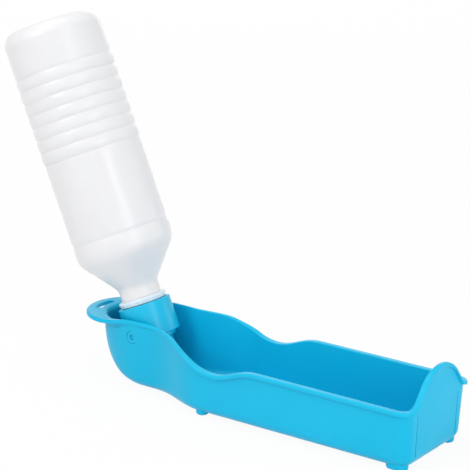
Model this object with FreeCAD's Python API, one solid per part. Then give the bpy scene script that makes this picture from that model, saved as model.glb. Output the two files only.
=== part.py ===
import FreeCAD, Part
import math
import os

# Portable pet water bottle with a fold-out drinking trough.
# Millimetres, +Z up. The trough lies along X with its deep end at +X, the bottle leans back at its other end.
# The part is built with the fold pivot at X = 0 and moved along X at the end, so that the origin is the middle of the bottom of its box.

# Trough
trough_end = 208.3            # outer face of the end wall at the height of the ground
side_half_width = 34.3        # outer face of a side wall at rim height, past the bend
hinge_half_width = 22.0       # outer face of a side wall at rim height, beside the cap
trough_wall = 2.0
end_wall = 2.0
trough_floor = 2.7            # thicker than the walls, so that the open bottle doesn't tip it
side_draft = 3.5              # degrees
end_draft = 2.8               # degrees
underside = 1.85              # height of the underside above the ground
bottom_rounding = 7.0         # outside radius between underside and side walls
corner_radius = 8.0           # outside radius of the upright corners at the end wall
bend_start = 15.0             # where the walls begin to widen
bend_end = 60.0               # where they are full width
bow_centre = 5.0              # where the rounded nose of the trough begins
bow_length = 38.7             # from there to the tip of the nose
bow_plan_power = 2.3          # fullness of the nose seen from above
bow_side_power = 3.0          # fullness of the nose seen from the side
bow_flat = 12.0               # the floor is flat for this far into the nose
bow_steps = 20                # straight stretches round the nose
bend_steps = 8                # along each bend
corner_steps = 4              # round each corner

# Rim
rim_height = 39.1
hinge_rim_height = 46.7
tab_height = 43.75
dip_height = 31.7
dip_place = 72.5
lip_height = 2.5              # how far the lip reaches down
lip_half_width = 36.3         # outer edge of the lip past the bend
hinge_lip_half_width = 22.4
lip_end = 212.3               # outer edge of the lip at the end wall
mouth_flare = 2.2             # rounding of the inner edge where the nose runs into the tab

# End wall arch
arch_height = 59.2
arch_top_radius = 23.0
arch_flank_angle = 52.0       # degrees from level
arch_foot_radius = 10.4
arch_start = 203.0            # the arch shapes everything past here

# Carry tab
tab_centre = -23.0
tab_radius = 24.1
slot_inner_radius = 14.2
slot_width = 4.8
slot_half_angle = 21.0        # degrees

# Feet and marks
foot_radius = 4.0
foot_half_spacing = 26.0
hinge_foot_place = 59.0
end_foot_start = 196.0
end_foot_length = 6.0
groove_half_spacing = 22.5
groove_low = 8.0
groove_high = 35.0
groove_wide = 1.4
groove_narrow = 0.6
groove_depth = 0.4
dash_length = 5.4
dash_width = 0.8
dash_depth = 0.4
dash_x = -12.0
dash_z = 39.8

# Pivot
pivot_height = 35.5
bottle_lean = 23.3            # degrees back from upright as it stands open
pin_radius = 3.9
pin_play = 0.08               # the pin turns freely in its hole
boss_radius = 5.5
boss_reach = 19.1             # half the distance across both bosses
pin_reach = 21.3              # half the distance across both pins
dimple_radius = 2.0
dimple_depth = 1.6

# Screw cap, measured along the bottle from the pivot
cap_radius = 17.0
cap_low = -4.4
cap_high = 17.3
cap_edge = 1.0
cap_floor = 1.95
cap_bore = 13.8
collar_radius = 13.3
collar_height = 2.4
nozzle_radius = 10.9
nozzle_bore = 9.3
nozzle_tip = -22.0
outlet_radius = 7.5

# Sealing washer
washer_radius = 13.3
washer_hole = 9.4
washer_height = 1.35
washer_play = 0.02            # face to face, pressed flat when the bottle is screwed home

# Bottle, measured along its axis from the pivot
neck_radius = 12.6
neck_wall = 1.6
ring_low = 18.9
ring_high = 21.1
ring_radius = 15.35
throat_radius = 12.9
cone_start = 29.5
cone_end = 49.2
cone_end_radius = 28.8
bulge_start = 57.5
bulge_end = 60.5
bulge_radius = 31.4
waist_place = 65.0
waist_radius = 30.7
body_start = 67.5
body_radius = 31.3
rib_count = 7
first_rib = 122.9
rib_pitch = 8.02
rib_rise = 0.5                # how far the ribs stand out
rib_crest = 5.2               # width of the crest of a rib
notch_depth = 0.4             # how far the notches between the ribs go in
base_end = 205.3
base_rounding = 10.0
base_dome = 2.0
base_ring_radius = 15.0
bottle_wall = 0.5


def vec(x, y, z):
    return FreeCAD.Vector(x, y, z)


def turned(power, angle):
    """A point on a rounded box of unit size, at the given angle from the +X side."""
    c = math.cos(angle)
    s = math.sin(angle)
    x = math.copysign(abs(c) ** (2.0 / power), c)
    y = math.copysign(abs(s) ** (2.0 / power), s)
    return x, y


def blend(x):
    """0 beside the cap, 1 past the bend."""
    u = (x - bend_start) / (bend_end - bend_start)
    u = max(0.0, min(1.0, u))
    return (1.0 - math.cos(math.pi * u)) / 2.0


def plan_wire(z, nose, hinge_half, side_half, end, corner):
    """Outline of the trough at height z, closed round the nose and the end wall."""
    half = []
    for k in range(bow_steps // 2, bow_steps):
        x, y = turned(bow_plan_power, math.pi / 2 + math.pi * k / bow_steps)
        half.append(vec(bow_centre + (bow_centre - nose) * x, hinge_half * y, z))
    for k in range(bend_steps + 1):
        x = bow_centre + (bend_end - bow_centre) * k / bend_steps
        half.append(vec(x, -(hinge_half + (side_half - hinge_half) * blend(x)), z))
    for k in range(corner_steps + 1):
        angle = math.pi / 2 * k / corner_steps
        x = end - corner + corner * math.sin(angle)
        y = side_half - corner + corner * math.cos(angle)
        half.append(vec(x, -y, z))
    far = [vec(p.x, -p.y, z) for p in reversed(half[1:])]
    return Part.makePolygon(half + far + half[:1])


def level_wire(z, wall, end_thickness, floor):
    """Outline of the outer skin at height z, or of the inner skin when the walls have a thickness."""
    base = underside + floor
    rounding = bottom_rounding - floor
    up = z - base
    if up < rounding:
        tuck = rounding - math.sqrt(rounding ** 2 - (rounding - up) ** 2)
    else:
        tuck = 0.0
    lean = (z - rim_height) * math.tan(math.radians(side_draft))
    hinge_half = hinge_half_width - wall + lean - tuck
    side_half = side_half_width - wall + lean - tuck
    end = trough_end + z * math.tan(math.radians(end_draft)) - end_thickness - tuck
    tall = tab_height - base
    share = max(0.0, (tab_height - z) / tall)
    nose = bow_centre - (bow_length - wall) * (1.0 - share ** bow_side_power) ** (1.0 / bow_side_power)
    nose = min(nose, bow_centre - bow_flat)
    corner = max(corner_radius - wall - 0.3 * tuck, 2.0)
    return plan_wire(z, nose, hinge_half, side_half, end, corner)


def skin(wall, end_thickness, floor, top):
    """Solid inside one skin of the trough, from its floor up to a height past the rim."""
    base = underside + floor
    rounding = bottom_rounding - floor
    heights = []
    for k in range(4):
        heights.append(base + rounding * (1.0 - math.cos(math.pi / 6 * k)))
    low = heights[-1]
    for share in (0.15, 0.4, 0.72):
        heights.append(low + (tab_height + 3.0 - low) * share)
    heights.append(top)
    wires = [level_wire(z, wall, end_thickness, floor) for z in heights]
    return Part.makeLoft(wires, True, True)


def rim_edges(drop):
    """Rim line from the tab to the arch, seen from the side and lowered by drop."""
    places = [
        (-20.0, tab_height),
        (-13.0, tab_height + 1.1),
        (-5.0, hinge_rim_height - 0.5),
        (6.0, hinge_rim_height),
        (18.0, hinge_rim_height - 0.2),
        (30.0, hinge_rim_height - 1.2),
        (40.0, hinge_rim_height - 3.2),
        (47.0, hinge_rim_height - 6.3),
        (55.0, dip_height + 5.1),
        (63.0, dip_height + 1.5),
        (dip_place, dip_height),
        (81.0, dip_height + 1.1),
        (89.0, dip_height + 4.0),
        (97.0, rim_height - 0.8),
        (106.0, rim_height),
    ]
    points = [vec(x, 0, z - drop) for x, z in places]
    spline = Part.BSplineCurve()
    spline.interpolate(Points=points, InitialTangent=vec(1, 0, 0), FinalTangent=vec(1, 0, 0))
    start = vec(-80, 0, tab_height - drop)
    stop = vec(arch_start, 0, rim_height - drop)
    return [Part.makeLine(start, points[0]), spline.toShape(), Part.makeLine(points[-1], stop)]


def rim_side(drop, far_z):
    """Everything above the rim line when far_z is high, or below it when far_z is low."""
    edges = rim_edges(drop)
    start = vec(-80, 0, tab_height - drop)
    stop = vec(arch_start, 0, rim_height - drop)
    edges.append(Part.makeLine(stop, vec(arch_start, 0, far_z)))
    edges.append(Part.makeLine(vec(arch_start, 0, far_z), vec(-80, 0, far_z)))
    edges.append(Part.makeLine(vec(-80, 0, far_z), start))
    face = Part.Face(Part.Wire(edges))
    face.translate(vec(0, -60, 0))
    return face.extrude(vec(0, 120, 0))


def arch_side(drop, far_z):
    """Everything above the arch line when far_z is high, or below it when far_z is low."""
    angle = math.radians(arch_flank_angle)
    top = arch_top_radius - drop
    foot = arch_foot_radius + drop
    centre_z = arch_height - arch_top_radius
    crest_y = top * math.sin(angle)
    crest_z = centre_z + top * math.cos(angle)
    foot_centre_z = rim_height - drop + foot
    flank_z = foot_centre_z - foot * math.cos(angle)
    flank_y = crest_y + (crest_z - flank_z) / math.tan(angle)
    foot_centre_y = flank_y + foot * math.sin(angle)
    x = arch_start

    def at(y, z):
        return vec(x, y, z)

    half = angle / 2
    foot_y = foot_centre_y - foot * math.sin(half)
    foot_z = foot_centre_z - foot * math.cos(half)
    level = rim_height - drop
    edges = [
        Part.makeLine(at(-60, level), at(-foot_centre_y, level)),
        Part.Arc(at(-foot_centre_y, level), at(-foot_y, foot_z), at(-flank_y, flank_z)).toShape(),
        Part.makeLine(at(-flank_y, flank_z), at(-crest_y, crest_z)),
        Part.Arc(at(-crest_y, crest_z), at(0, arch_height - drop), at(crest_y, crest_z)).toShape(),
        Part.makeLine(at(crest_y, crest_z), at(flank_y, flank_z)),
        Part.Arc(at(flank_y, flank_z), at(foot_y, foot_z), at(foot_centre_y, level)).toShape(),
        Part.makeLine(at(foot_centre_y, level), at(60, level)),
        Part.makeLine(at(60, level), at(60, far_z)),
        Part.makeLine(at(60, far_z), at(-60, far_z)),
        Part.makeLine(at(-60, far_z), at(-60, level)),
    ]
    return Part.Face(Part.Wire(edges)).extrude(vec(40, 0, 0))


def lip_outline():
    """Everything inside the outer edge of the lip and of the tab, seen from above."""
    low = 25.0
    high = arch_height + 3.0
    nose = bow_centre - bow_length - 0.4
    corner = corner_radius + 1.5
    plan = plan_wire(low, nose, hinge_lip_half_width, lip_half_width, lip_end, corner)
    block = Part.Face(plan).extrude(vec(0, 0, high - low))
    tab = Part.makeCylinder(tab_radius, high - low, vec(tab_centre, 0, low))
    # Tangents from the disc to the side of the trough take the notch away.
    meet = 4.0
    dx = meet - tab_centre
    far = math.hypot(dx, hinge_lip_half_width)
    turn = math.atan2(hinge_lip_half_width, dx) + math.acos(tab_radius / far)
    touch_x = tab_centre + tab_radius * math.cos(turn)
    touch_y = tab_radius * math.sin(turn)
    corners = [
        vec(meet, -hinge_lip_half_width, low),
        vec(meet, hinge_lip_half_width, low),
        vec(touch_x, touch_y, low),
        vec(touch_x, -touch_y, low),
        vec(meet, -hinge_lip_half_width, low),
    ]
    web = Part.Face(Part.makePolygon(corners)).extrude(vec(0, 0, high - low))
    return block.fuse(tab).fuse(web)


def flared_mouth():
    """Rounds the inner edge of the nose over into the tab."""
    centre = -8.0
    inner_tip = bow_centre - bow_length + trough_wall
    half = hinge_half_width - trough_wall + 0.2
    wires = []
    for drop, share in ((3.2, 0.0), (2.2, 0.12), (1.2, 0.36), (0.4, 0.72), (-0.4, 1.25)):
        z = tab_height - drop
        reach = centre - inner_tip + mouth_flare * share
        across = half + 0.8 * share
        points = []
        for k in range(bow_steps + 1):
            x, y = turned(2.4, math.pi / 2 + math.pi * k / bow_steps)
            points.append(vec(centre + reach * x, across * y, z))
        wires.append(Part.makePolygon(points + points[:1]))
    return Part.makeLoft(wires, True, True)


def slot():
    """Curved slot through the tab, with round ends."""
    middle = slot_inner_radius + slot_width / 2
    outer = slot_inner_radius + slot_width
    half = math.radians(slot_half_angle)
    low = tab_height - 6.0

    def on(radius, angle):
        return vec(tab_centre - radius * math.cos(angle), radius * math.sin(angle), low)

    round_out = slot_width / 2
    tip_high = on(middle, half)
    tip_low = on(middle, -half)
    along = vec(math.sin(half), math.cos(half), 0)
    away = vec(math.sin(half), -math.cos(half), 0)
    edges = [
        Part.Arc(on(outer, -half), on(outer, 0), on(outer, half)).toShape(),
        Part.Arc(on(outer, half), tip_high + along * round_out, on(slot_inner_radius, half)).toShape(),
        Part.Arc(on(slot_inner_radius, half), on(slot_inner_radius, 0), on(slot_inner_radius, -half)).toShape(),
        Part.Arc(on(slot_inner_radius, -half), tip_low + away * round_out, on(outer, -half)).toShape(),
    ]
    return Part.Face(Part.Wire(edges)).extrude(vec(0, 0, 9.0))


def foot(x, y, length):
    """Low round-ended foot that reaches up into the bottom of the trough."""
    top = underside + 3.2
    pad = Part.makeCylinder(foot_radius, top, vec(x, y, 0))
    if length > 0:
        pad = pad.fuse(Part.makeCylinder(foot_radius, top, vec(x + length, y, 0)))
        pad = pad.fuse(Part.makeBox(length, 2 * foot_radius, top, vec(x, y - foot_radius, 0)))
        pad = pad.removeSplitter()
    ground = [edge for edge in pad.Edges if edge.BoundBox.ZMax < 0.001]
    return pad.makeChamfer(0.6, ground)


def end_groove(side):
    """Shallow tapering groove down the outside of the end wall."""
    y = side * groove_half_spacing
    slope = math.tan(math.radians(end_draft))
    low_x = trough_end + groove_low * slope - groove_depth
    high_x = trough_end + groove_high * slope - groove_depth
    a = vec(low_x, y - groove_wide / 2, groove_low)
    b = vec(low_x, y + groove_wide / 2, groove_low)
    c = vec(high_x, y + groove_narrow / 2, groove_high)
    d = vec(high_x, y - groove_narrow / 2, groove_high)
    return Part.Face(Part.makePolygon([a, b, c, d, a])).extrude(vec(3.0, 0, 0))


def dash_mark(side):
    """Short slanting mark on the outside of the wall, square to the open bottle."""
    reach = hinge_half_width + 3.0
    wall = hinge_half_width + (dash_z - rim_height) * math.tan(math.radians(side_draft))
    start = wall - dash_depth
    mark = Part.makeBox(dash_length, reach - start, dash_width, vec(-dash_length / 2, start, -dash_width / 2))
    mark.rotate(vec(0, 0, 0), vec(0, 1, 0), -bottle_lean)
    mark.translate(vec(dash_x, 0, dash_z))
    if side < 0:
        mark = mark.mirror(vec(0, 0, 0), vec(0, 1, 0))
    return mark


def make_trough():
    rim_cut = rim_side(0.0, 90.0)
    arch_cut = arch_side(0.0, 90.0)
    top = arch_height + 2.0
    body = skin(0.0, 0.0, 0.0, top).cut(rim_cut).cut(arch_cut)
    lip = lip_outline().cut(rim_cut).cut(arch_cut)
    lip = lip.cut(rim_side(lip_height, 0.0)).cut(arch_side(lip_height, 0.0))
    body = body.fuse(lip)
    for side in (-1, 1):
        body = body.fuse(foot(hinge_foot_place, side * foot_half_spacing, 0))
        body = body.fuse(foot(end_foot_start, side * foot_half_spacing, end_foot_length))
    body = body.cut(skin(trough_wall, end_wall, trough_floor, top + 2.0))
    body = body.cut(flared_mouth())
    body = body.cut(slot())
    hole = Part.makeCylinder(pin_radius + pin_play, 80, vec(0, -40, pivot_height), vec(0, 1, 0))
    body = body.cut(hole)
    for side in (-1, 1):
        body = body.cut(end_groove(side))
        body = body.cut(dash_mark(side))
    return body.removeSplitter()


def lean_back(shape):
    """Takes a shape built upright about the pivot to the open stand of the bottle."""
    shape.rotate(vec(0, 0, 0), vec(0, 1, 0), -bottle_lean)
    shape.translate(vec(0, 0, pivot_height))
    return shape


def spin(points_or_edges):
    """Turns a closed outline in the XZ plane about Z."""
    face = Part.Face(Part.Wire(points_or_edges))
    return face.revolve(vec(0, 0, 0), vec(0, 0, 1), 360)


def line(a, b):
    return Part.makeLine(vec(a[0], 0, a[1]), vec(b[0], 0, b[1]))


def outline(points):
    edges = []
    for a, b in zip(points, points[1:] + points[:1]):
        edges.append(line(a, b))
    return edges


def make_cap():
    collar_low = cap_low - collar_height
    inner_floor = cap_low + cap_floor
    cap = spin(outline([
        (outlet_radius, inner_floor),
        (cap_bore, inner_floor),
        (cap_bore, cap_high),
        (cap_radius, cap_high),
        (cap_radius, cap_low + cap_edge),
        (cap_radius - cap_edge, cap_low),
        (collar_radius, cap_low),
        (collar_radius, collar_low),
        (nozzle_radius, collar_low),
        (nozzle_radius, nozzle_tip + 0.5),
        (nozzle_radius - 0.5, nozzle_tip),
        (nozzle_bore, nozzle_tip),
        (nozzle_bore, cap_low),
        (outlet_radius, cap_low),
    ]))
    hollow = Part.makeCylinder(cap_bore, cap_high - inner_floor, vec(0, 0, inner_floor))
    for side in (-1, 1):
        axis = vec(0, side, 0)
        start = vec(0, side * (cap_bore + 1.0), 0)
        boss = Part.makeCylinder(boss_radius, boss_reach - cap_bore - 1.0, start, axis)
        pin = Part.makeCylinder(pin_radius, pin_reach - cap_bore - 1.0, start, axis)
        dimple = Part.makeCylinder(dimple_radius, dimple_depth + 1, vec(0, side * (pin_reach - dimple_depth), 0), axis)
        cap = cap.fuse(boss.cut(hollow)).fuse(pin).cut(dimple)
    return lean_back(cap.removeSplitter())


def make_washer():
    low = cap_low + cap_floor + washer_play
    high = low + washer_height
    washer = spin(outline([(washer_hole, low), (washer_radius, low), (washer_radius, high), (washer_hole, high)]))
    return lean_back(washer)


def shoulder(wall):
    """Shoulder bead and waist between the cone and the straight body, set in by a wall."""
    return [
        (bulge_radius - wall, bulge_start),
        (bulge_radius - wall, bulge_end),
        (waist_radius - wall, waist_place),
    ]


def rounded_base(radius, steps):
    """Rounded edge between the side and the base, from the side inwards."""
    points = []
    for k in range(steps + 1):
        angle = math.pi / 2 * k / steps
        r = body_radius - base_rounding + radius * math.cos(angle)
        points.append((r, base_end - base_rounding + radius * math.sin(angle)))
    return points


def outer_profile():
    """Radius and place of the outside of the bottle, from its mouth to the middle of its base."""
    points = [
        (neck_radius, ring_low),
        (ring_radius, ring_low),
        (ring_radius, ring_high),
        (throat_radius, ring_high),
        (throat_radius, cone_start),
        (cone_end_radius, cone_end),
        (cone_end_radius + 1.6, cone_end + 2.8),
    ]
    points += shoulder(0.0)
    points.append((body_radius, body_start))
    slope = (rib_pitch - rib_crest) / 2
    points.append((body_radius, first_rib - rib_pitch / 2 - slope))
    points.append((body_radius - notch_depth, first_rib - rib_pitch / 2))
    for k in range(rib_count):
        peak = first_rib + k * rib_pitch
        points.append((body_radius + rib_rise, peak - rib_crest / 2))
        points.append((body_radius + rib_rise, peak + rib_crest / 2))
        points.append((body_radius - notch_depth, peak + rib_pitch / 2))
    points.append((body_radius, first_rib + (rib_count - 0.5) * rib_pitch + slope))
    points += rounded_base(base_rounding, 3)
    points.append((base_ring_radius, base_end))
    points.append((base_ring_radius - base_dome, base_end - base_dome))
    points.append((0, base_end - base_dome))
    return points


def inner_profile():
    """Radius and place of the inside of the bottle, from the middle of its base to its mouth."""
    neck_bore = neck_radius - neck_wall
    slant = bottle_wall / math.cos(math.atan2(cone_end_radius - throat_radius, cone_end - cone_start))
    thick = notch_depth + bottle_wall
    points = [
        (0, base_end - base_dome - bottle_wall),
        (base_ring_radius - base_dome - bottle_wall, base_end - base_dome - bottle_wall),
        (base_ring_radius - bottle_wall / 2, base_end - bottle_wall),
    ]
    points += reversed(rounded_base(base_rounding - thick, 3))
    points.append((body_radius - thick, body_start))
    points += reversed(shoulder(bottle_wall))
    points.append((cone_end_radius - slant, cone_end))
    points.append((neck_bore, cone_start - 1.0))
    return points


def make_bottle():
    mouth = cap_low + cap_floor + 2 * washer_play + washer_height
    rim = [(neck_radius - neck_wall, mouth), (neck_radius, mouth)]
    return lean_back(spin(outline(rim + outer_profile() + inner_profile())))


def main():
    parts = {
        "trough": make_trough(),
        "screw_cap": make_cap(),
        "sealing_washer": make_washer(),
        "bottle": make_bottle(),
    }
    box = FreeCAD.BoundBox()
    for shape in parts.values():
        box.add(shape.optimalBoundingBox(False, False))
    shift = -(box.XMin + box.XMax) / 2
    os.makedirs("parts", exist_ok=True)
    for name, shape in parts.items():
        shape.translate(vec(shift, 0, 0))
        solids = shape.Solids
        if len(solids) == 1:
            shape = solids[0]
        shape.exportStep("parts/" + name + ".step")
        print(name, "solids", len(solids), "valid", shape.isValid(), "volume", round(shape.Volume, 1))
    print("pivot at X", round(shift, 4), "Z", pivot_height)


main()
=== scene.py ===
import math

import bmesh
import bpy
from mathutils import Matrix, Vector


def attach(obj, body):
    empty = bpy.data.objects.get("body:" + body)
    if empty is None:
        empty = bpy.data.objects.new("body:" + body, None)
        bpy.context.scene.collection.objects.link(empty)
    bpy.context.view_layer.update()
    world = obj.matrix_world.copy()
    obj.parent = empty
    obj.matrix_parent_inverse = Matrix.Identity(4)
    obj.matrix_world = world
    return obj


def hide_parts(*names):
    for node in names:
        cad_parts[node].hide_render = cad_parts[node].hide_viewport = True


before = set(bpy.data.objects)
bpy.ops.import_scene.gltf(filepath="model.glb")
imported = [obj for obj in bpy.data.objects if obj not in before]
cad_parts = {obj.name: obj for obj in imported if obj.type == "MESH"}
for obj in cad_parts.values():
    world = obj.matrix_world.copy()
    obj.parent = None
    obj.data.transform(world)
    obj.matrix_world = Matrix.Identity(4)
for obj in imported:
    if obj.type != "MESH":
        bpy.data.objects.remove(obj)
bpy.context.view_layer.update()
scene = bpy.context.scene

# Places are in millimetres, from the fold pivot along X and from the ground along Z.
# MM turns them into metres.
MM = 0.001
PIVOT_X = -52.7777
PIVOT_Z = 35.5
LEAN = math.radians(23.3)

# Trough
TROUGH_END = 208.3
SIDE_HALF = 34.3
HINGE_HALF = 22.0
WALL = 2.0
END_WALL = 2.0
FLOOR = 2.7
SIDE_DRAFT = math.tan(math.radians(3.5))
END_DRAFT = math.tan(math.radians(2.8))
UNDERSIDE = 1.85
ROUNDING = 7.0
CORNER = 8.0
BEND = (15.0, 60.0)
BOW_CENTRE = 5.0
BOW_LENGTH = 38.7
BOW_PLAN = 2.3
BOW_SIDE = 3.0
BOW_FLAT = 12.0
RIM = 39.1
TAB = 43.75
LIP_HEIGHT = 2.5
LIP_HALF = 36.3
HINGE_LIP = 22.4
LIP_END = 212.3
ARCH_TOP = 59.2
ARCH_RADIUS = 23.0
ARCH_ANGLE = math.radians(52.0)
ARCH_FOOT = 10.4
TAB_CENTRE = -23.0
TAB_RADIUS = 24.1
WEB_MEET = 4.0                # where the straight web of the tab meets the side
NOSE_MIDDLE = -8.0            # the lip round the nose is measured outward from here
SPINE_START, SPINE_END = 12.0, 180.0  # the floor is closed along this stretch of the middle line
RIM_FLARE = 0.5               # rounding of the rim's inner edge
NOSE_FLARE = 2.3              # what is added to it round the tip of the nose
FLARE_START, FLARE_RUN = -2.0, 16.0
LIP_SOFT = 0.9                # rounding of the lip's outer edge
LIP_UNDER = 0.35              # rounding of its lower edge
LIP_FILLET = 0.45             # rounding where it meets the wall
SLOT_INNER = 14.2
SLOT_WIDTH = 4.8
SLOT_HALF = math.radians(21.0)
SLOT_LOW, SLOT_HIGH = 38.0, 47.0      # the cutter reaches past both faces of the tab
HOLE_RADIUS = 3.98
GROOVE_Y = 22.5
DASH_X, DASH_Z = -12.0, 39.8
DASH_HALF = 2.3               # half the length of the mark between its round ends
DASH_ROUND = 0.4
FOOT_Y = 26.0
FEET = ((59.0, 0.0), (196.0, 6.0))    # place along X and straight length of each pair
FOOT_PROFILE = [              # height and radius
    (0.0, 2.4), (0.1, 2.95), (0.35, 3.4), (0.75, 3.75), (1.25, 3.95), (1.8, 4.0), (4.6, 4.0),
]

# Cap, radius and place along the bottle's axis from the pivot, with the rounding of each corner
CAP_PROFILE = [
    (7.5, -2.45), (13.8, -2.45), (13.8, 17.3), (17.0, 17.3), (17.0, -4.4), (13.3, -4.4),
    (13.3, -6.8), (10.9, -6.8), (10.9, -22.0), (9.3, -22.0), (9.3, -4.4), (7.5, -4.4),
]
CAP_SOFT = [0.2, 0.3, 0.4, 0.6, 0.8, 0.3, 0.5, 0.3, 0.5, 0.3, 0.3, 0.2]
PIN_START = 15.0              # inside the cap's wall
BOSS_RADIUS, BOSS_REACH = 5.5, 19.1
PIN_RADIUS, PIN_REACH = 3.9, 21.3
DIMPLE_RADIUS, DIMPLE_FLOOR = 2.0, 19.75
WASHER_PROFILE = [(9.4, -2.43), (13.3, -2.43), (13.3, -1.08), (9.4, -1.08)]

# Bottle, radius and place along its axis from the pivot
MOUTH = -1.06
NECK = 12.6
NECK_WALL = 1.6
BOTTLE_WALL = 0.55
COLLAR = [(12.6, 17.35), (13.2, 17.6), (14.5, 17.7), (14.85, 18.0), (14.9, 18.9)]
RING = [(15.35, 19.25), (15.35, 20.8), (15.05, 21.1), (13.5, 21.1), (13.05, 21.5), (12.9, 22.2)]
RING_MIDDLE = 20.1
CONE_START = (12.9, 29.5)
CONE_END = (28.8, 49.2)
BULGE = 31.4
BULGE_START, BULGE_END = 57.5, 60.5
WAIST = (30.7, 65.0)
BODY = 31.3
RIB_COUNT = 7
FIRST_RIB = 122.9
RIB_PITCH = 8.02
RIB_RISE = 0.5
NOTCH = 0.4
BASE = 205.24
BASE_ROUND = 10.15

# Rim seen from the side: place along X and height
RIM_LINE = [
    (-20.0, 43.75), (-13.0, 44.85), (-5.0, 46.2), (6.0, 46.7), (18.0, 46.5),
    (30.0, 45.5), (40.0, 43.5), (47.0, 40.4), (55.0, 36.8), (63.0, 33.2),
    (72.5, 31.7), (81.0, 32.8), (89.0, 35.7), (97.0, 38.3), (106.0, 39.1),
]

FLOOR_GLOW = 0.94             # share of the floor that always shows white


def quarter(k, steps):
    """Angle after k of the steps of a quarter turn."""
    return math.pi / 2 * k / steps


def spline(points, x):
    """Smooth curve through the points, level at both ends."""
    if x <= points[0][0]:
        return points[0][1]
    if x >= points[-1][0]:
        return points[-1][1]
    slopes = [0.0]
    for a, b in zip(points, points[2:]):
        slopes.append((b[1] - a[1]) / (b[0] - a[0]))
    slopes.append(0.0)
    for k in range(len(points) - 1):
        (x0, y0), (x1, y1) = points[k], points[k + 1]
        if x <= x1:
            h = x1 - x0
            t = (x - x0) / h
            return (
                y0 * (1 + 2 * t) * (1 - t) ** 2 + slopes[k] * h * t * (1 - t) ** 2
                + y1 * t * t * (3 - 2 * t) + slopes[k + 1] * h * t * t * (t - 1)
            )


def blend(x):
    """Share of the widening, from 0 at the nose to 1 at the basin."""
    u = max(0.0, min(1.0, (x - BEND[0]) / (BEND[1] - BEND[0])))
    return (1.0 - math.cos(math.pi * u)) / 2.0


def arch(y):
    """Height of the end wall's top edge."""
    y = abs(y)
    crest_y = ARCH_RADIUS * math.sin(ARCH_ANGLE)
    crest_z = ARCH_TOP - ARCH_RADIUS + ARCH_RADIUS * math.cos(ARCH_ANGLE)
    foot_z = RIM + ARCH_FOOT
    flank_z = foot_z - ARCH_FOOT * math.cos(ARCH_ANGLE)
    flank_y = crest_y + (crest_z - flank_z) / math.tan(ARCH_ANGLE)
    foot_y = flank_y + ARCH_FOOT * math.sin(ARCH_ANGLE)
    if y <= crest_y:
        return ARCH_TOP - ARCH_RADIUS + math.sqrt(ARCH_RADIUS ** 2 - y * y)
    if y <= flank_y:
        return crest_z - (y - crest_y) * math.tan(ARCH_ANGLE)
    if y <= foot_y:
        return foot_z - math.sqrt(ARCH_FOOT ** 2 - (foot_y - y) ** 2)
    return RIM


def shape_at(z, inset, end_inset):
    """The sizes that set the outline of a skin at height z."""
    floor = FLOOR if inset > 0 else 0.0
    base = UNDERSIDE + floor
    rounding = ROUNDING - floor
    up = max(0.0, z - base)
    tuck = rounding - math.sqrt(rounding ** 2 - (rounding - up) ** 2) if up < rounding else 0.0
    lean = (z - RIM) * SIDE_DRAFT
    share = max(0.0, (TAB - z) / (TAB - base))
    length = (BOW_LENGTH - inset) * (1.0 - share ** BOW_SIDE) ** (1.0 / BOW_SIDE)
    return {
        "length": max(length, BOW_FLAT),
        "hinge": HINGE_HALF - inset + lean - tuck,
        "side": SIDE_HALF - inset + lean - tuck,
        "end": TROUGH_END + z * END_DRAFT - end_inset - tuck,
        "corner": max(CORNER - inset - 0.3 * tuck, 2.0),
    }


def skin_point(station, z, inset, end_inset):
    """Place along X and Y where a skin of the trough passes a station at height z."""
    kind, u = station
    s = shape_at(z, inset, end_inset)
    if kind == "bow":
        c, n = math.cos(u), math.sin(u)
        x = BOW_CENTRE + s["length"] * math.copysign(abs(c) ** (2.0 / BOW_PLAN), c)
        return x, -s["hinge"] * abs(n) ** (2.0 / BOW_PLAN)
    if kind == "side":
        y = s["hinge"] + (s["side"] - s["hinge"]) * blend(u)
        return min(u, s["end"] - s["corner"]), -y
    if kind == "corner":
        x = s["end"] - s["corner"] * (1 - math.sin(u))
        y = s["side"] - s["corner"] * (1 - math.cos(u))
        return x, -y
    return s["end"], -u * (s["side"] - s["corner"])


def make_stations():
    """Places round one half of the trough, from the tip of the nose to the middle of the end wall."""
    stations = []
    for k in range(32):
        stations.append(("bow", math.pi - quarter(k, 32)))
    # Short steps along the waved rim and long ones along the straight basin.
    x = BOW_CENTRE
    while x < 201.0:
        stations.append(("side", x))
        if x < 14.0:
            x += 3.0
        elif x < 112.0:
            x += 2.0
        else:
            x += 8.0
    for k in range(13):
        stations.append(("corner", quarter(k, 12)))
    for k in range(1, 29):
        stations.append(("end", 1.0 - k / 28))
    return stations


def rim_height(station, x, y):
    """Height of the rim at a station."""
    if station[0] in ("bow", "side"):
        return spline(RIM_LINE, x)
    return arch(y)


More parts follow.
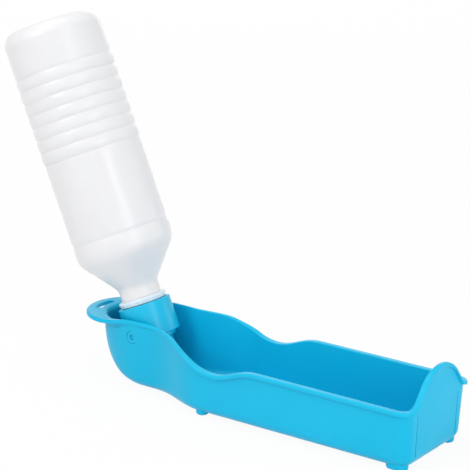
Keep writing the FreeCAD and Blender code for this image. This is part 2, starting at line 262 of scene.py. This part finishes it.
def tab_edge(x, y):
    """Where a line from inside the nose through this place meets the outline of the tab."""
    size = math.hypot(x - NOSE_MIDDLE, y)
    dx, dy = (x - NOSE_MIDDLE) / size, y / size
    far = math.hypot(WEB_MEET - TAB_CENTRE, HINGE_LIP)
    turn = math.atan2(HINGE_LIP, WEB_MEET - TAB_CENTRE) + math.acos(TAB_RADIUS / far)
    tx, ty = TAB_CENTRE + TAB_RADIUS * math.cos(turn), TAB_RADIUS * math.sin(turn)
    # The disc.
    run = (NOSE_MIDDLE - TAB_CENTRE) * dx
    t = math.sqrt(run ** 2 - (NOSE_MIDDLE - TAB_CENTRE) ** 2 + TAB_RADIUS ** 2) - run
    if NOSE_MIDDLE + dx * t <= tx:
        return NOSE_MIDDLE + dx * t, dy * t
    # The straight web from the disc to the side.
    ex, ey = WEB_MEET - tx, ty - HINGE_LIP
    det = dy * ex - dx * ey
    if abs(det) > 1e-9:
        t = ((NOSE_MIDDLE - tx) * ey - ty * ex) / det
        if NOSE_MIDDLE + dx * t <= WEB_MEET + 0.01:
            return NOSE_MIDDLE + dx * t, dy * t
    return NOSE_MIDDLE - dx * HINGE_LIP / dy, -HINGE_LIP


def lip_point(station, x, y):
    """Outer edge of the lip, or of the tab, that belongs to a station."""
    kind, u = station
    if kind == "bow":
        return tab_edge(x, y)
    if kind == "side":
        return x, -(HINGE_LIP + (LIP_HALF - HINGE_LIP) * blend(u))
    corner = CORNER + 1.5
    if kind == "corner":
        return LIP_END - corner * (1 - math.sin(u)), -(LIP_HALF - corner * (1 - math.cos(u)))
    return LIP_END, -u * (LIP_HALF - corner)


def section(station):
    """Points round the wall at a station, from mid floor over the rim to the middle of the underside."""
    base_in = UNDERSIDE + FLOOR
    round_in = ROUNDING - FLOOR
    x, y = skin_point(station, RIM, 0.0, 0.0)
    top = rim_height(station, x, y)
    x, y = skin_point(station, top, 0.0, 0.0)
    top = rim_height(station, x, y)
    if station[0] == "end":
        top = arch(lip_point(station, x, y)[1])
    points = []
    flare = RIM_FLARE
    if x < FLARE_START:
        t = min(1.0, (FLARE_START - x) / FLARE_RUN)
        flare += NOSE_FLARE * t * t * (3 - 2 * t)

    def inner(z):
        px, py = skin_point(station, z, WALL, END_WALL)
        return Vector((px, py, z))

    def outer(z):
        px, py = skin_point(station, z, 0.0, 0.0)
        return Vector((px, py, z))

    low = inner(base_in)
    spine = Vector((max(SPINE_START, min(low.x, SPINE_END)), 0.0, base_in))
    for share in (1.0, 0.7, 0.4, 0.15):
        points.append(low.lerp(spine, share))
    levels = []
    for k in range(9):
        levels.append(base_in + round_in * (1 - math.cos(quarter(k, 8))))
    high = top - flare
    count = 14
    for k in range(1, count + 1):
        levels.append(levels[8] + (high - levels[8]) * k / count)
    for z in levels:
        points.append(inner(z))
    edge = inner(high)
    lip = Vector((*lip_point(station, x, y), top))
    out = Vector((lip.x - edge.x, lip.y - edge.y, 0.0)).normalized()
    for k in range(1, 7):
        a = quarter(k, 6)
        points.append(edge + out * flare * (1 - math.cos(a)) + Vector((0, 0, flare * math.sin(a))))
    rim_in = points[-1].copy()
    rim_out = lip - out * LIP_SOFT
    for share in (0.33, 0.66):
        points.append(rim_in.lerp(rim_out, share))
    centre = rim_out - Vector((0, 0, LIP_SOFT))
    for k in range(5):
        a = quarter(k, 4)
        points.append(centre + out * LIP_SOFT * math.sin(a) + Vector((0, 0, LIP_SOFT * math.cos(a))))
    drop = top - LIP_HEIGHT
    edge_low = Vector((lip.x, lip.y, drop + LIP_UNDER))
    for k in range(4):
        a = quarter(k, 3)
        fall = Vector((0, 0, LIP_UNDER * math.sin(a)))
        points.append(edge_low - out * LIP_UNDER * (1 - math.cos(a)) - fall)
    gap = (points[-1] - outer(drop)).length
    fillet = min(LIP_FILLET, gap * 0.4)
    wall_low = outer(drop - fillet)
    for k in range(4):
        a = quarter(k, 3)
        points.append(wall_low + out * fillet * (1 - math.sin(a)) + Vector((0, 0, fillet * math.cos(a))))
    levels = []
    for k in range(9):
        levels.append(UNDERSIDE + ROUNDING * (1 - math.cos(quarter(k, 8))))
    high = drop - fillet
    down = []
    for k in range(1, count):
        down.append(levels[8] + (high - levels[8]) * k / count)
    for z in reversed(levels + down):
        points.append(outer(z))
    low = outer(UNDERSIDE)
    spine = Vector((max(SPINE_START, min(low.x, SPINE_END)), 0.0, UNDERSIDE))
    for share in (0.15, 0.4, 0.7, 1.0):
        points.append(low.lerp(spine, share))
    return points


def to_world(p):
    """Turns a place in millimetres into one in the scene."""
    return Vector(((p[0] + PIVOT_X) * MM, p[1] * MM, p[2] * MM))


def shade(mesh, sharp=35.0):
    """Smooth shading, with edges kept sharp past the given angle in degrees."""
    for polygon in mesh.polygons:
        polygon.use_smooth = True
    mesh.set_sharp_from_angle(angle=math.radians(sharp))


def add_object(name, bm, sharp=35.0):
    """Turns a built mesh into an object of the scene."""
    bmesh.ops.recalc_face_normals(bm, faces=bm.faces)
    mesh = bpy.data.meshes.new(name)
    bm.to_mesh(mesh)
    bm.free()
    shade(mesh, sharp)
    obj = bpy.data.objects.new(name, mesh)
    scene.collection.objects.link(obj)
    return obj


def rod(start, end, radius, count=64, rounding=0.0):
    """Round rod between two places of the scene, with softened ends."""
    axis = (end - start).normalized()
    side = axis.orthogonal().normalized()
    other = axis.cross(side)
    length = (end - start).length
    rings = [(0.0, radius - rounding)]
    if rounding > 0:
        for k in range(1, 5):
            a = quarter(k, 4)
            rings.append((rounding * (1 - math.cos(a)), radius - rounding + rounding * math.sin(a)))
        for k in range(5):
            a = quarter(k, 4)
            place = length - rounding + rounding * math.sin(a)
            rings.append((place, radius - rounding + rounding * math.cos(a)))
    else:
        rings.append((length, radius))
    bm = bmesh.new()
    loops = []
    for along, r in rings:
        loop = []
        for k in range(count):
            a = 2 * math.pi * k / count
            loop.append(bm.verts.new(start + axis * along + (side * math.cos(a) + other * math.sin(a)) * r))
        loops.append(loop)
    for a, b in zip(loops, loops[1:]):
        for k in range(count):
            n = (k + 1) % count
            bm.faces.new((a[k], a[n], b[n], b[k]))
    bm.faces.new(list(reversed(loops[0])))
    bm.faces.new(loops[-1])
    return bm


def cut(target, tools):
    """Takes the tools away from the target and deletes them."""
    for tool in tools:
        modifier = target.modifiers.new("cut", "BOOLEAN")
        modifier.operation = "DIFFERENCE"
        modifier.solver = "EXACT"
        modifier.object = tool
    bpy.context.view_layer.update()
    graph = bpy.context.evaluated_depsgraph_get()
    mesh = bpy.data.meshes.new_from_object(target.evaluated_get(graph))
    target.modifiers.clear()
    old = target.data
    target.data = mesh
    bpy.data.meshes.remove(old)
    for tool in tools:
        data = tool.data
        bpy.data.objects.remove(tool)
        bpy.data.meshes.remove(data)
    shade(mesh)


def loft(name, first, last):
    """Closed block between two outlines with the same number of points, in millimetres."""
    bm = bmesh.new()
    a = [bm.verts.new(to_world(p)) for p in first]
    b = [bm.verts.new(to_world(p)) for p in last]
    bm.faces.new(list(reversed(a)))
    bm.faces.new(b)
    count = len(a)
    for k in range(count):
        n = (k + 1) % count
        bm.faces.new((a[k], a[n], b[n], b[k]))
    return add_object(name, bm)


def tab_slot():
    """Cutter for the curved slot in the tab: two arcs joined by round ends."""
    middle = SLOT_INNER + SLOT_WIDTH / 2
    points = []

    def on(r, a):
        return (TAB_CENTRE - r * math.cos(a), r * math.sin(a))

    def round_end(a, first, second):
        cx, cy = on(middle, a)
        for k in range(1, 12):
            t = math.pi * k / 12
            along = first[0] * math.cos(t) + second[0] * math.sin(t)
            across = first[1] * math.cos(t) + second[1] * math.sin(t)
            points.append((cx + SLOT_WIDTH / 2 * along, cy + SLOT_WIDTH / 2 * across))

    c, n = math.cos(SLOT_HALF), math.sin(SLOT_HALF)
    for k in range(17):
        points.append(on(SLOT_INNER + SLOT_WIDTH, -SLOT_HALF + 2 * SLOT_HALF * k / 16))
    round_end(SLOT_HALF, (-c, n), (n, c))
    for k in range(17):
        points.append(on(SLOT_INNER, SLOT_HALF - 2 * SLOT_HALF * k / 16))
    round_end(-SLOT_HALF, (c, n), (n, -c))
    return loft("tool_slot", [(x, y, SLOT_LOW) for x, y in points], [(x, y, SLOT_HIGH) for x, y in points])


def end_groove(side):
    """Cutter for the shallow tapering groove down the outside of the end wall."""
    outlines = []
    for z, half, depth in ((8.0, 0.8, 0.45), (35.0, 0.3, 0.25)):
        deep = TROUGH_END + z * END_DRAFT - depth
        clear = TROUGH_END + z * END_DRAFT + 1
        y = side * GROOVE_Y
        low, high = half * 0.6, half + 0.3
        outlines.append([(deep, y - low, z), (deep, y + low, z), (clear, y + high, z), (clear, y - high, z)])
    return loft("tool_groove", outlines[0], outlines[1])


def dash_mark(side):
    """Cutter for the short slanting mark beside the hinge."""
    wall = HINGE_HALF + (DASH_Z - RIM) * SIDE_DRAFT
    outlines = []
    for outward in (-0.4, 3.0):
        loop = []
        for k in range(24):
            a = 2 * math.pi * k / 24
            run = DASH_ROUND * math.cos(a) + (DASH_HALF if math.cos(a) > 0 else -DASH_HALF)
            rise = DASH_ROUND * math.sin(a)
            x = DASH_X + run * math.cos(LEAN) - rise * math.sin(LEAN)
            z = DASH_Z + run * math.sin(LEAN) + rise * math.cos(LEAN)
            along_bow = ((BOW_CENTRE - x) / BOW_LENGTH) ** BOW_PLAN
            loop.append((x, side * (wall * (1.0 - along_bow) ** (1.0 / BOW_PLAN) + outward), z))
        outlines.append(loop)
    return loft("tool_dash", outlines[0], outlines[1])


def make_trough(material):
    """The moulding: one half from the stations, the other mirrored, then the holes and marks."""
    stations = make_stations()
    bm = bmesh.new()
    loops = []
    for station in stations:
        loops.append([bm.verts.new(to_world(p)) for p in section(station)])
    for station in reversed(stations[1:-1]):
        loops.append([bm.verts.new(to_world((p.x, -p.y, p.z))) for p in section(station)])
    total = len(loops)
    for k in range(total):
        a, b = loops[k], loops[(k + 1) % total]
        for j in range(len(a) - 1):
            bm.faces.new((a[j], a[j + 1], b[j + 1], b[j]))
    bmesh.ops.remove_doubles(bm, verts=bm.verts, dist=2e-6)
    bmesh.ops.dissolve_degenerate(bm, edges=bm.edges, dist=1e-7)
    trough = add_object("trough_moulding", bm)

    pivot = on_axis(0.0)
    reach = Vector((0, 0.04, 0))
    tools = [tab_slot(), add_object("tool_hole", rod(pivot - reach, pivot + reach, HOLE_RADIUS * MM))]
    for side in (-1, 1):
        tools.append(end_groove(side))
        tools.append(dash_mark(side))
    cut(trough, tools)
    trough.data.materials.append(material)
    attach(trough, "trough_base")
    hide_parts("trough")


def make_feet(material):
    """Two round feet under the front of the basin and two long ones under its end."""
    bm = bmesh.new()
    for x0, length in FEET:
        for side in (-1, 1):
            y = side * FOOT_Y
            loops = []
            for z, r in FOOT_PROFILE:
                loop = []
                for k in range(48):
                    a = 2 * math.pi * k / 48
                    cx = x0 + (length if math.cos(a) > 0 else 0.0)
                    loop.append(bm.verts.new(to_world((cx + r * math.cos(a), y + r * math.sin(a), z))))
                loops.append(loop)
            for a, b in zip(loops, loops[1:]):
                for k in range(48):
                    n = (k + 1) % 48
                    bm.faces.new((a[k], a[n], b[n], b[k]))
            bm.faces.new(list(reversed(loops[0])))
            bm.faces.new(loops[-1])
    feet = add_object("trough_feet", bm)
    feet.data.materials.append(material)
    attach(feet, "trough_base")


def on_axis(t):
    """Place on the bottle's axis, t millimetres from the pivot."""
    return Vector((PIVOT_X - t * math.sin(LEAN), 0.0, PIVOT_Z + t * math.cos(LEAN))) * MM


def lathe(profile, count=128):
    """Turns a closed profile of (radius, place along the axis) about the bottle's axis."""
    side = Vector((math.cos(LEAN), 0.0, math.sin(LEAN)))
    across = Vector((0.0, 1.0, 0.0))
    bm = bmesh.new()
    loops = []
    for r, t in profile:
        centre = on_axis(t)
        if r < 1e-6:
            loops.append([bm.verts.new(centre)])
            continue
        loop = []
        for k in range(count):
            a = 2 * math.pi * k / count
            loop.append(bm.verts.new(centre + (side * math.cos(a) + across * math.sin(a)) * r * MM))
        loops.append(loop)
    for a, b in zip(loops, loops[1:] + loops[:1]):
        if len(a) == 1 and len(b) == 1:
            continue
        for k in range(count):
            n = (k + 1) % count
            if len(a) == 1:
                bm.faces.new((a[0], b[n], b[k]))
            elif len(b) == 1:
                bm.faces.new((a[k], a[n], b[0]))
            else:
                bm.faces.new((a[k], a[n], b[n], b[k]))
    return bm


def soften(points, sizes):
    """Rounds the corners of a closed profile by the given sizes."""
    result = []
    count = len(points)
    for k in range(count):
        p, size = Vector(points[k]), sizes[k]
        if size <= 0:
            result.append(tuple(p))
            continue
        a = (Vector(points[k - 1]) - p).normalized()
        b = (Vector(points[(k + 1) % count]) - p).normalized()
        angle = a.angle(b)
        run = size / math.tan(angle / 2)
        start, end = p + a * run, p + b * run
        centre = p + (a + b).normalized() * (size / math.sin(angle / 2))
        first, last = start - centre, end - centre
        turn = first.angle(last)
        steps = 5
        for j in range(steps + 1):
            s = j / steps
            if turn < 1e-6:
                result.append(tuple(start))
                break
            q = (first * math.sin((1 - s) * turn) + last * math.sin(s * turn)) / math.sin(turn)
            result.append(tuple(centre + q))
    return result


def make_cap(material):
    """Screw cap with its nozzle, and the hinge pins on their bosses."""
    shell = add_object("cap_shell", lathe(soften(CAP_PROFILE, CAP_SOFT)))
    shell.data.materials.append(material)
    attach(shell, "cap_swing")
    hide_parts("screw_cap")
    pivot = on_axis(0.0)
    for name, side in (("near", -1), ("far", 1)):
        y = Vector((0, side * MM, 0))
        start = pivot + y * PIN_START
        boss_rod = rod(start, pivot + y * BOSS_REACH, BOSS_RADIUS * MM, rounding=0.4 * MM)
        boss = add_object("cap_boss_" + name, boss_rod)
        pin_rod = rod(start, pivot + y * PIN_REACH, PIN_RADIUS * MM, rounding=0.45 * MM)
        pin = add_object("cap_pin_" + name, pin_rod)
        dimple = rod(pivot + y * DIMPLE_FLOOR, pivot + y * 23.0, DIMPLE_RADIUS * MM, rounding=0.6 * MM)
        cut(pin, [add_object("tool_dimple", dimple)])
        for piece in (boss, pin):
            piece.data.materials.append(material)
            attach(piece, "cap_swing")


def turn_arc(centre, radius, start, stop, steps):
    """Points on an arc in the profile plane, angles measured from the outward direction."""
    points = []
    for k in range(steps + 1):
        a = start + (stop - start) * k / steps
        points.append((centre[0] + radius * math.cos(a), centre[1] + radius * math.sin(a)))
    return points


def bottle_profile():
    """Outer skin of the bottle from its mouth to the middle of its base."""
    points = [(NECK - 0.3, MOUTH), (NECK, MOUTH + 0.3)] + COLLAR + RING
    # Straight throat, then an inward turn into the cone.
    cone = math.atan2(CONE_END[0] - CONE_START[0], CONE_END[1] - CONE_START[1])
    turn = 7.0
    run = turn * math.tan(cone / 2)
    points += turn_arc((CONE_START[0] + turn, CONE_START[1] - run), turn, math.pi, math.pi - cone, 8)
    # Cone, then an outward turn into the shoulder bead.
    bead = (BULGE - CONE_END[0]) / (1 - math.cos(cone))
    start = Vector(points[-1])
    for k in range(1, 8):
        points.append(tuple(start.lerp(Vector(CONE_END), k / 8)))
    for k in range(13):
        a = cone * (1 - k / 12)
        t = BULGE_START - (BULGE_START - CONE_END[1]) * math.sin(a) / math.sin(cone)
        points.append((BULGE - bead * (1 - math.cos(a)), t))
    points += [(BULGE, BULGE_START + 1.5), (BULGE, BULGE_END)]
    for k in range(1, 9):
        s = k / 8
        points.append((BULGE - (BULGE - WAIST[0]) * s ** 2.2, BULGE_END + (WAIST[1] - BULGE_END) * s))
    for share, place in ((0.2, 0.35), (0.55, 0.9), (0.85, 1.6), (1.0, 2.5)):
        points.append((WAIST[0] + (BODY - WAIST[0]) * share, WAIST[1] + place))
    first_notch = FIRST_RIB - RIB_PITCH / 2
    for k in range(1, 8):
        points.append((BODY, WAIST[1] + 2.5 + (first_notch - 1.4 - WAIST[1] - 2.5) * k / 7))
    points.append((BODY - 0.1, first_notch - 0.7))
    # Ribs are full bumps with narrow notches between them.
    steps = 16
    for rib in range(RIB_COUNT):
        for k in range(steps):
            p = 2.0 * k / steps - 1.0
            rise = math.cos(math.pi / 2 * p) ** 0.75 if k else 0.0
            place = first_notch + (rib + k / steps) * RIB_PITCH
            points.append((BODY - NOTCH + (RIB_RISE + NOTCH) * rise, place))
    last_notch = first_notch + RIB_COUNT * RIB_PITCH
    points += [(BODY - NOTCH, last_notch), (BODY - 0.15, last_notch + 0.5), (BODY, last_notch + 1.3)]
    for k in range(1, 5):
        points.append((BODY, last_notch + 1.3 + (BASE - BASE_ROUND - last_notch - 1.3) * k / 5))
    points += turn_arc((BODY - BASE_ROUND, BASE - BASE_ROUND), BASE_ROUND, 0.0, math.pi / 2, 14)
    points += [(18.5, BASE), (16.0, BASE), (15.0, BASE - 0.15)]
    for k in range(1, 9):
        s = 1 - k / 8
        points.append((14.4 * s, BASE - 2.0 + 1.3 * s ** 3))
    return points


def make_bottle(material):
    """Hollow bottle: the outer skin, an inner skin from the top of the support ring, and the neck's bore."""
    outer = bottle_profile()
    ring_top = outer.index(RING[-2])
    inner = []
    for k in range(ring_top, len(outer)):
        p, q = Vector(outer[k - 1]), Vector(outer[min(k + 1, len(outer) - 1)])
        d = (q - p).normalized()
        inner.append((max(outer[k][0] - d.y * BOTTLE_WALL, 0.0), outer[k][1] + d.x * BOTTLE_WALL))
    inner[-1] = (0.0, outer[-1][1] - BOTTLE_WALL)
    bore = NECK - NECK_WALL
    profile = outer + list(reversed(inner))
    profile += [(bore, CONE_START[1] - 4.0), (bore, MOUTH + 0.3), (bore + 0.3, MOUTH)]
    bottle = add_object("bottle_blown", lathe(profile, 160), sharp=60.0)
    bottle.data.materials.append(material)
    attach(bottle, "bottle_turn")
    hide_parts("bottle")


def make_washer(material):
    """Flat sealing ring between the cap's floor and the mouth of the bottle."""
    washer = add_object("washer", lathe(soften(WASHER_PROFILE, [0.15] * 4), 96))
    washer.data.materials.append(material)
    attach(washer, "seal_slide")
    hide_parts("sealing_washer")


def make_camera():
    """The camera that was fitted to the photograph."""
    azimuth = math.radians(36.0)
    elevation = math.radians(17.4507)
    roll = math.radians(0.0667)
    distance, side, lift = 1.2957767, -0.0523977, -0.0909012
    flat = math.cos(elevation)
    back = Vector((math.sin(azimuth) * flat, -math.cos(azimuth) * flat, math.sin(elevation)))
    level = Vector((math.cos(azimuth), math.sin(azimuth), 0.0))
    above = back.cross(level)
    right = level * math.cos(roll) + above * math.sin(roll)
    up = above * math.cos(roll) - level * math.sin(roll)
    place = back * distance - right * side - up * lift
    place += Vector((PIVOT_X * MM, 0.0, 0.0022))
    camera = bpy.data.cameras.new("camera")
    camera.sensor_width = 36.0
    camera.lens = 2023.4857 / 470.0 * camera.sensor_width     # focal length and width in pixels
    camera.clip_start = 0.05
    camera.clip_end = 50.0
    holder = bpy.data.objects.new("camera", camera)
    holder.matrix_world = Matrix((
        (right.x, up.x, back.x, place.x),
        (right.y, up.y, back.y, place.y),
        (right.z, up.z, back.z, place.z),
        (0.0, 0.0, 0.0, 1.0),
    ))
    scene.collection.objects.link(holder)
    scene.camera = holder


class Nodes:
    """Builds the node tree of one material."""

    def __init__(self, name):
        self.material = bpy.data.materials.new(name)
        self.material.use_nodes = True
        self.tree = self.material.node_tree
        self.shader = self.tree.nodes["Principled BSDF"]
        self.place = self.add("ShaderNodeTexCoord").outputs["Object"]

    def add(self, kind, **settings):
        """New node of a kind, with its settings."""
        node = self.tree.nodes.new(kind)
        for key, value in settings.items():
            setattr(node, key, value)
        return node

    def link(self, out, into):
        self.tree.links.new(out, into)

    def noise(self, scale, detail, stretch=None):
        """Noise over the piece, drawn out along the bottle where a stretch is given."""
        node = self.add("ShaderNodeTexNoise")
        node.inputs["Scale"].default_value = scale
        node.inputs["Detail"].default_value = detail
        source = self.place
        if stretch:
            mapping = self.add("ShaderNodeMapping")
            mapping.inputs["Rotation"].default_value = (0.0, LEAN, 0.0)
            mapping.inputs["Scale"].default_value = stretch
            self.link(source, mapping.inputs["Vector"])
            source = mapping.outputs["Vector"]
        self.link(source, node.inputs["Vector"])
        return node.outputs["Fac"]

    def spread(self, value, low, high, start=0.3, stop=0.7):
        """Turns a noise value into a number between low and high."""
        node = self.add("ShaderNodeMapRange")
        node.inputs["From Min"].default_value = start
        node.inputs["From Max"].default_value = stop
        node.inputs["To Min"].default_value = low
        node.inputs["To Max"].default_value = high
        self.link(value, node.inputs["Value"])
        return node.outputs["Result"]

    def mix(self, factor, first, second):
        """Blend of two colours, each a value or the output of a node."""
        node = self.add("ShaderNodeMix", data_type="RGBA")
        self.link(factor, node.inputs["Factor"])
        for value, socket in ((first, node.inputs[6]), (second, node.inputs[7])):
            if isinstance(value, tuple):
                socket.default_value = (*value, 1.0)
            else:
                self.link(value, socket)
        return node.outputs[2]

    def bump(self, value, strength, distance, normal=None):
        """Bump from a noise value, over the given normal."""
        node = self.add("ShaderNodeBump")
        node.inputs["Strength"].default_value = strength
        node.inputs["Distance"].default_value = distance
        self.link(value, node.inputs["Height"])
        if normal:
            self.link(normal, node.inputs["Normal"])
        return node.outputs["Normal"]

    def set(self, **values):
        """Sets inputs of the shader by name."""
        for key, value in values.items():
            self.shader.inputs[key.replace("_", " ")].default_value = value


def blue_plastic(name, deep, light, roughness, shine):
    """Moulded plastic: faint flow marks, a fine skin and a satin shine."""
    n = Nodes(name)
    flow = n.noise(14.0, 4.0)
    speck = n.noise(260.0, 2.0)
    colour = n.mix(n.spread(flow, 0.0, 1.0), deep, light)
    darker = tuple(c * 0.95 for c in light)
    colour = n.mix(n.spread(speck, 0.0, 0.35, 0.45, 0.8), colour, darker)
    n.link(colour, n.shader.inputs["Base Color"])
    n.link(n.spread(n.noise(60.0, 4.0), roughness - 0.05, roughness + 0.06), n.shader.inputs["Roughness"])
    skin = n.bump(n.noise(1500.0, 2.0), 0.10, 0.00006)
    n.link(n.bump(n.noise(90.0, 2.0), 0.10, 0.0002, skin), n.shader.inputs["Normal"])
    n.set(Specular_IOR_Level=shine, Subsurface_Weight=0.05, Subsurface_Scale=0.003)
    n.shader.inputs["Subsurface Radius"].default_value = (0.1, 0.7, 1.0)
    return n.material


def frosted_plastic():
    """Thin blown plastic: milky, with soft streaks along the bottle."""
    n = Nodes("frosted_plastic")
    streak = n.noise(9.0, 0.0, (3.2, 3.2, 0.25))
    cloud = n.noise(30.0, 0.5)
    body = n.mix(n.spread(streak, 0.0, 1.0, 0.15, 0.85), (0.905, 0.925, 0.945), (0.94, 0.925, 0.965))
    body = n.mix(n.spread(cloud, 0.0, 0.2, 0.1, 0.9), body, (0.95, 0.95, 0.97))
    # Painted shade: the colour turns grey towards the outline, where the surface turns away from the view.
    edge = n.add("ShaderNodeLayerWeight")
    edge.inputs["Blend"].default_value = 0.30
    body = n.mix(n.spread(edge.outputs["Facing"], 0.0, 0.4, 0.66, 1.0), body, (0.62, 0.62, 0.62))
    # Painted light makes the neck and cone a little whiter, standing in for light that comes through the
    # shoulder; painted shade makes the support ring a little darker and bluer than the thin wall.
    upward = Vector((-math.sin(LEAN), 0.0, math.cos(LEAN)))
    height = n.add("ShaderNodeVectorMath", operation="DOT_PRODUCT")
    height.inputs[1].default_value = upward
    n.link(n.place, height.inputs[0])
    cone_start, cone_end = on_axis(36.0).dot(upward), on_axis(54.0).dot(upward)
    # Painted light: share of the whiter colour, full up to the middle of the cone and gone at its end.
    low = n.spread(height.outputs["Value"], 1.0, 0.0, cone_start, cone_end)
    body = n.mix(low, body, (0.985, 0.975, 0.98))
    above_ring = n.add("ShaderNodeMath", operation="SUBTRACT")
    above_ring.inputs[1].default_value = on_axis(RING_MIDDLE).dot(upward)
    n.link(height.outputs["Value"], above_ring.inputs[0])
    away = n.add("ShaderNodeMath", operation="ABSOLUTE")
    n.link(above_ring.outputs[0], away.inputs[0])
    # Painted shade: share of the darker, bluer colour, full at the middle of the support ring.
    ring_shade_mask = n.spread(away.outputs[0], 1.0, 0.0, 0.0011, 0.0017)
    body = n.mix(ring_shade_mask, body, (0.67, 0.76, 0.83))
    n.link(body, n.shader.inputs["Base Color"])
    n.link(n.spread(cloud, 0.27, 0.35, 0.1, 0.9), n.shader.inputs["Roughness"])
    skin = n.bump(n.noise(700.0, 2.0), 0.10, 0.00008)
    n.link(n.bump(streak, 0.25, 0.0006, skin), n.shader.inputs["Normal"])
    n.set(IOR=1.45, Specular_IOR_Level=0.5, Subsurface_Weight=0.6, Subsurface_Scale=0.003)
    n.shader.inputs["Subsurface Radius"].default_value = (1.0, 1.0, 1.0)
    return n.material


def white_rubber():
    """Matt rubber of the washer."""
    n = Nodes("washer_rubber")
    cloud = n.noise(120.0, 3.0)
    colour = n.mix(n.spread(cloud, 0.0, 1.0), (0.74, 0.74, 0.72), (0.84, 0.84, 0.82))
    n.link(colour, n.shader.inputs["Base Color"])
    n.link(n.spread(cloud, 0.55, 0.7), n.shader.inputs["Roughness"])
    n.link(n.bump(n.noise(1800.0, 2.0), 0.2, 0.00005), n.shader.inputs["Normal"])
    return n.material


def make_floor():
    """White floor that still takes the shadow of the part."""
    mesh = bpy.data.meshes.new("floor")
    size = 6.0
    corners = [(-size, -size, 0), (size, -size, 0), (size, size, 0), (-size, size, 0)]
    mesh.from_pydata(corners, [], [(0, 1, 2, 3)])
    floor = bpy.data.objects.new("floor", mesh)
    scene.collection.objects.link(floor)
    n = Nodes("floor_white")
    n.set(Base_Color=(0.8, 0.8, 0.8, 1.0), Roughness=0.9, Specular_IOR_Level=0.1)
    glow = n.add("ShaderNodeEmission")
    glow.inputs["Color"].default_value = (1.0, 1.0, 1.0, 1.0)
    glow.inputs["Strength"].default_value = 1.0
    path = n.add("ShaderNodeLightPath")
    seen = n.add("ShaderNodeMath", operation="MAXIMUM")
    n.link(path.outputs["Is Glossy Ray"], seen.inputs[0])
    n.link(path.outputs["Is Transmission Ray"], seen.inputs[1])
    share = n.add("ShaderNodeMath", operation="MULTIPLY")
    share.inputs[1].default_value = FLOOR_GLOW
    n.link(path.outputs["Is Camera Ray"], share.inputs[0])
    factor = n.add("ShaderNodeMath", operation="MAXIMUM")
    n.link(seen.outputs[0], factor.inputs[0])
    n.link(share.outputs[0], factor.inputs[1])
    blend_shader = n.add("ShaderNodeMixShader")
    n.link(factor.outputs[0], blend_shader.inputs[0])
    n.link(n.shader.outputs[0], blend_shader.inputs[1])
    n.link(glow.outputs[0], blend_shader.inputs[2])
    out = n.tree.nodes["Material Output"]
    n.link(blend_shader.outputs[0], out.inputs["Surface"])
    mesh.materials.append(n.material)


def area_light(name, place, target, width, height, power):
    """Soft lamp at a place, turned to its target, with sizes in metres and power in watts."""
    light = bpy.data.lights.new(name, "AREA")
    light.energy = power
    light.shape = "RECTANGLE"
    light.size = width
    light.size_y = height
    holder = bpy.data.objects.new(name, light)
    holder.location = place
    holder.rotation_euler = (Vector(target) - Vector(place)).to_track_quat("-Z", "Y").to_euler()
    scene.collection.objects.link(holder)


def make_lights():
    """White surroundings, a soft key, and panels for the sheen on the bottle, lip and end wall."""
    world = bpy.data.worlds.new("world")
    scene.world = world
    world.use_nodes = True
    world.node_tree.nodes["Background"].inputs["Color"].default_value = (1, 1, 1, 1)
    world.node_tree.nodes["Background"].inputs["Strength"].default_value = 0.62
    area_light("key", (-0.35, -1.2, 1.0), (0.0, 0.0, 0.08), 0.5, 0.5, 6.6)
    area_light("top", (-0.3, -0.15, 1.75), (0.0, 0.0, 0.0), 1.0, 1.0, 8.5)
    area_light("fill", (0.75, -1.05, 0.2), (0.0, 0.0, 0.1), 1.0, 0.4, 1.3)
    area_light("side_strip", (1.25, -0.5, 0.5), (-0.03, 0.0, 0.1), 0.3, 0.9, 5.5)
    area_light("back_panel", (-0.85, 1.25, 0.5), (0.0, 0.0, 0.05), 1.4, 0.8, 3.8)
    area_light("end_sheen", (1.05, 0.95, 0.2), (0.15, 0.0, 0.03), 0.6, 0.5, 2.5)


def main():
    make_camera()
    make_floor()
    make_lights()
    blue = blue_plastic("blue_plastic", (0.002, 0.44, 0.68), (0.005, 0.465, 0.72), 0.38, 0.2)
    make_trough(blue)
    make_feet(blue)
    make_cap(blue_plastic("blue_cap_plastic", (0.002, 0.465, 0.70), (0.005, 0.49, 0.74), 0.35, 0.32))
    make_washer(white_rubber())
    make_bottle(frosted_plastic())
    scene.view_settings.view_transform = "Standard"


main()
